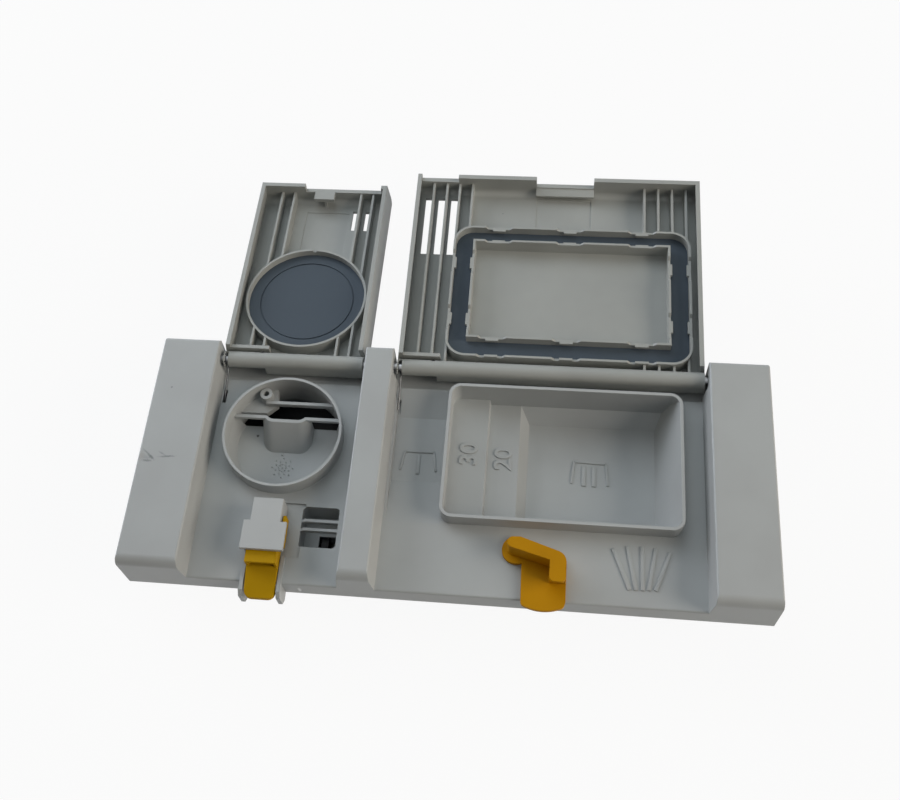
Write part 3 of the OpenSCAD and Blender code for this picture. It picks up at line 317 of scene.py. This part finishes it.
one_piece([numerals("30", 131.2, 61.2, STEP_30_Z), numerals("20", 145.1, 61.5, STEP_20_Z)],
          "fill_marks")
one_piece([raised_line(*line) for line in (
    (174.9, 65.1, 186.7, 64.7, CHAMBER_Z, 1.0),
    (174.2, 64.6, 173.3, 55.7, CHAMBER_Z, 1.0),
    (187.2, 64.2, 188.0, 55.4, CHAMBER_Z, 1.0),
    (178.3, 62.0, 178.3, 55.2, CHAMBER_Z, 1.7),
    (182.4, 61.9, 182.4, 55.1, CHAMBER_Z, 1.7),
    (105.9, 60.6, 116.9, 60.6, POCKET_Z, 0.9),
    (105.3, 60.2, 104.1, 52.6, POCKET_Z, 0.9),
    (117.3, 60.2, 118.4, 52.6, POCKET_Z, 0.9),
    (111.2, 58.2, 111.2, 51.4, POCKET_Z, 1.5))], "spray_signs")
one_piece([raised_line(*line, RECESS_Z, 1.5) for line in (
    (189.8, 22.2, 195.5, 7.6),
    (195.1, 23.3, 198.0, 7.7),
    (200.5, 23.5, 200.6, 7.6),
    (205.6, 23.1, 203.0, 7.8),
    (210.8, 21.9, 205.7, 7.8))], "fan_sign")
dots = [raised_dot(STAR_X, STAR_Y, STAR_DOT_R)]
for ray in range(8):
    for step, reach in enumerate((1.5, 2.9, 4.3)):
        angle = math.radians(45 * ray + 22.5 * (step % 2))
        dots.append(raised_dot(STAR_X + reach * math.cos(angle),
                               STAR_Y + reach * math.sin(angle), STAR_DOT_R))
dots.append(raised_dot(53.4, 58.1, 0.6))
one_piece(dots, "rinse_sign")

# Behind the door: the rinse aid tank's shell of black polypropylene, welded to the housing, and
# the mechanism's cover and the float of natural polypropylene. All are injection moulded. The
# shell's black, even with a low shine, is painted shade: it keeps the openings into the tank as
# dark as their deep shade. The natural looks milky and faintly clouded.
finish_node("tank_shell", moulded("black polypropylene as painted shade, moulded", "#17181A", "#121315", 0.8))
milky = moulded("natural polypropylene, moulded", "#C9C8C1", "#BEBDB6", 0.8)
for name in ("mechanism_cover", "float"):
    finish_node(name, milky)

# The cover's six screws, which cut their own thread, and the solenoid's yoke, stamped and bent.
# Both are steel with a zinc plating, which gives a cool silver with slow clouds.
ROUGH_LOW = 0.8
ROUGH_HIGH = 1.25


def metal(name, bright, dull, rough, streak_mm, stretch=(1, 1, 1)):
    """Metal with streaks of the given width, bright to dull, in their own shine and bump."""
    made = emptied(bpy.data.materials.new(name))
    place = add_node(made, "ShaderNodeTexCoord").outputs["Object"]
    drawn = add_node(made, "ShaderNodeMapping", {"Vector": place, "Scale": stretch})
    streaks = add_node(made, "ShaderNodeTexNoise", {
        "Vector": drawn.outputs["Vector"], "Scale": 1 / (streak_mm * MM), "Detail": 3})
    tint = add_node(made, "ShaderNodeMixRGB", {
        "Fac": streaks.outputs["Fac"], "Color1": linear(bright), "Color2": linear(dull)})
    gloss = add_node(made, "ShaderNodeMapRange", {
        "Value": streaks.outputs["Fac"], "To Min": rough * ROUGH_LOW, "To Max": rough * ROUGH_HIGH})
    bump = add_node(made, "ShaderNodeBump", {
        "Height": streaks.outputs["Fac"], "Strength": 0.1, "Distance": 0.05 * MM})
    shader = add_node(made, "ShaderNodeBsdfPrincipled", {
        "Base Color": tint.outputs["Color"], "Metallic": 1.0,
        "Roughness": gloss.outputs["Result"], "Normal": bump.outputs["Normal"]})
    add_node(made, "ShaderNodeOutputMaterial", {"Surface": shader.outputs[0]})
    return made


zinc_steel = metal("zinc-plated steel", "#C3C6C9", "#A2A7AB", 0.38, 1.2)
for name in ("cover_screws", "solenoid_yoke"):
    finish_node(name, zinc_steel)

# Gasket between the bezel and the door's inner sheet: one frame of black cellular EPDM, die cut
# and pressed into the groove under the bezel. Its cut cells make it matt with a coarse grain.
BLOOM_MM = 16.667
ROUGH_SPREAD = 0.07


def rubber(name, light, dark, rough, grain_mm, sheen=0.5):
    """Rubber with a faint bloom that drifts over it, and a fine grain."""
    made = emptied(bpy.data.materials.new(name))
    place = add_node(made, "ShaderNodeTexCoord").outputs["Object"]
    bloom = add_node(made, "ShaderNodeTexNoise", {
        "Vector": place, "Scale": 1 / (BLOOM_MM * MM), "Detail": 4, "Roughness": 0.6})
    tint = add_node(made, "ShaderNodeMixRGB", {
        "Fac": bloom.outputs["Fac"], "Color1": linear(dark), "Color2": linear(light)})
    grain = add_node(made, "ShaderNodeTexNoise", {
        "Vector": place, "Scale": 1 / (grain_mm * MM), "Detail": 2})
    gloss = add_node(made, "ShaderNodeMapRange", {
        "Value": bloom.outputs["Fac"], "To Min": rough - ROUGH_SPREAD,
        "To Max": rough + ROUGH_SPREAD})
    bump = add_node(made, "ShaderNodeBump", {
        "Height": grain.outputs["Fac"], "Strength": 0.2, "Distance": 0.1 * MM})
    shader = add_node(made, "ShaderNodeBsdfPrincipled", {
        "Base Color": tint.outputs["Color"], "Roughness": gloss.outputs["Result"],
        "Specular IOR Level": sheen, "Normal": bump.outputs["Normal"], "IOR": 1.5})
    add_node(made, "ShaderNodeOutputMaterial", {"Surface": shader.outputs[0]})
    return made


finish_node("door_gasket", rubber("black cellular EPDM", "#2B2C2D", "#1B1C1D", 0.8, 0.7))

# The two lids: the housing's grey ABS, each moulded in one piece with its ribs, barrel and catch.
# They stand open, so their inner sides show, a shade browner and cleaner, with one speck. Seals
# of silicone, matt and dark blue-grey with a little bloom, are pressed into the ring and channel.
lid_abs = moulded("grey ABS, lid inside", "#9A9C99", "#939592", speck_from=0.86,
                  smears_and_painted_light=((face(138.7, 177.4, -10), 0, 0.5, 0.5, 0.8, SCUFF),))
for name in ("rinse_lid", "detergent_lid"):
    finish_node(name, lid_abs)
silicone = rubber("blue-grey silicone", "#48525C", "#414A54", 0.55, 0.6, 0.2)
for name in ("rinse_lid_seal", "detergent_lid_seal"):
    finish_node(name, silicone)

# Hinge pins, pressed into the blocks at both ends of each barrel, the float's rod and the
# solenoid's plunger: cut from drawn stainless bar. Drawing leaves fine bright lines along it.
drawn_steel = metal("drawn stainless steel", "#A9AAAB", "#85888B", 0.3, 0.6, (0.1, 1, 1))
for name in ("rinse_hinge_pin", "detergent_hinge_pin", "float_rod", "solenoid_plunger"):
    finish_node(name, drawn_steel)

# Springs: torsion springs round the lids' barrels, compression springs behind the button, the
# plunger and the dosing rod. They are wound of patented steel wire and slipped on at assembly.
# Their dull, dark colour is painted shade, which keeps the white room's reflection in them dim.
spring_wire_painted_shade = metal("patented spring wire, dull as painted shade", "#6E6F70", "#47484A", 0.38, 0.6)
for name in ("rinse_lid_spring", "detergent_lid_spring", "latch_spring", "plunger_spring",
             "dosing_spring"):
    finish_node(name, spring_wire_painted_shade)

# Yellow catch button and yellow lever: polyoxymethylene, moulded, with a weak waxy shine. They
# come from two batches, so the button is a little greener than the lever.
for name, clean, shaded in (("latch_button", "#B68D06", "#AA8304"),
                            ("detergent_lever", "#B88200", "#AC7800")):
    finish_node(name, moulded("yellow polyoxymethylene, " + name.replace("_", " "), clean, shaded,
                              0.6, speck_from=0.9, shine=(0.5, 0.62), sheen=0.1))

# Release slider, dosing rod and the reed switch's case: moulded of polyoxymethylene, and
# pushed into the housing. The slider's end shows through the bars of the outlet window.
# Their black, even and deep with a weak shine, is painted shade: it keeps the outlet window as
# dark as the shade behind its bars.
black_pom_painted_shade = moulded("black polyoxymethylene as painted shade", "#161718", "#101112", 0.6, speck_from=0.9,
                    sheen=0.2)
for name in ("release_slider", "dosing_rod", "reed_switch"):
    finish_node(name, black_pom_painted_shade)

# Mechanism behind the face: crank, pressed on the lever's shaft, and terminal block, moulded of
# white polyoxymethylene, warm and slightly waxy. Rings of nitrile rubber, a dull black, lie in
# the lever's groove and on the dosing rod.
white_pom = moulded("white polyoxymethylene", "#DAD9D3", "#CFCEC8", 0.6, speck_from=0.9)
for name in ("lever_crank", "terminal_block"):
    finish_node(name, white_pom)
nitrile = rubber("black nitrile rubber", "#242526", "#17181A", 0.45, 0.4)
for name in ("lever_seal_ring", "dosing_seal"):
    finish_node(name, nitrile)

# The electric parts: the float's pressed ferrite ring, a dull graphite grey, two stamped blades of
# tinned brass with a pale yellow shine, and a coil wound of enamelled copper wire, whose fine
# turns run round it.
finish_node("float_magnet", metal("sintered ferrite", "#4A4B4D", "#3A3B3D", 0.5, 0.5))
finish_node("coil_terminals", metal("tinned brass", "#CDBB85", "#B09A5C", 0.32, 1.0))
finish_node("solenoid_coil", metal("enamelled copper wire", "#A8603A", "#8A4526", 0.4, 0.4,
                                   (4, 0.3, 0.3)))
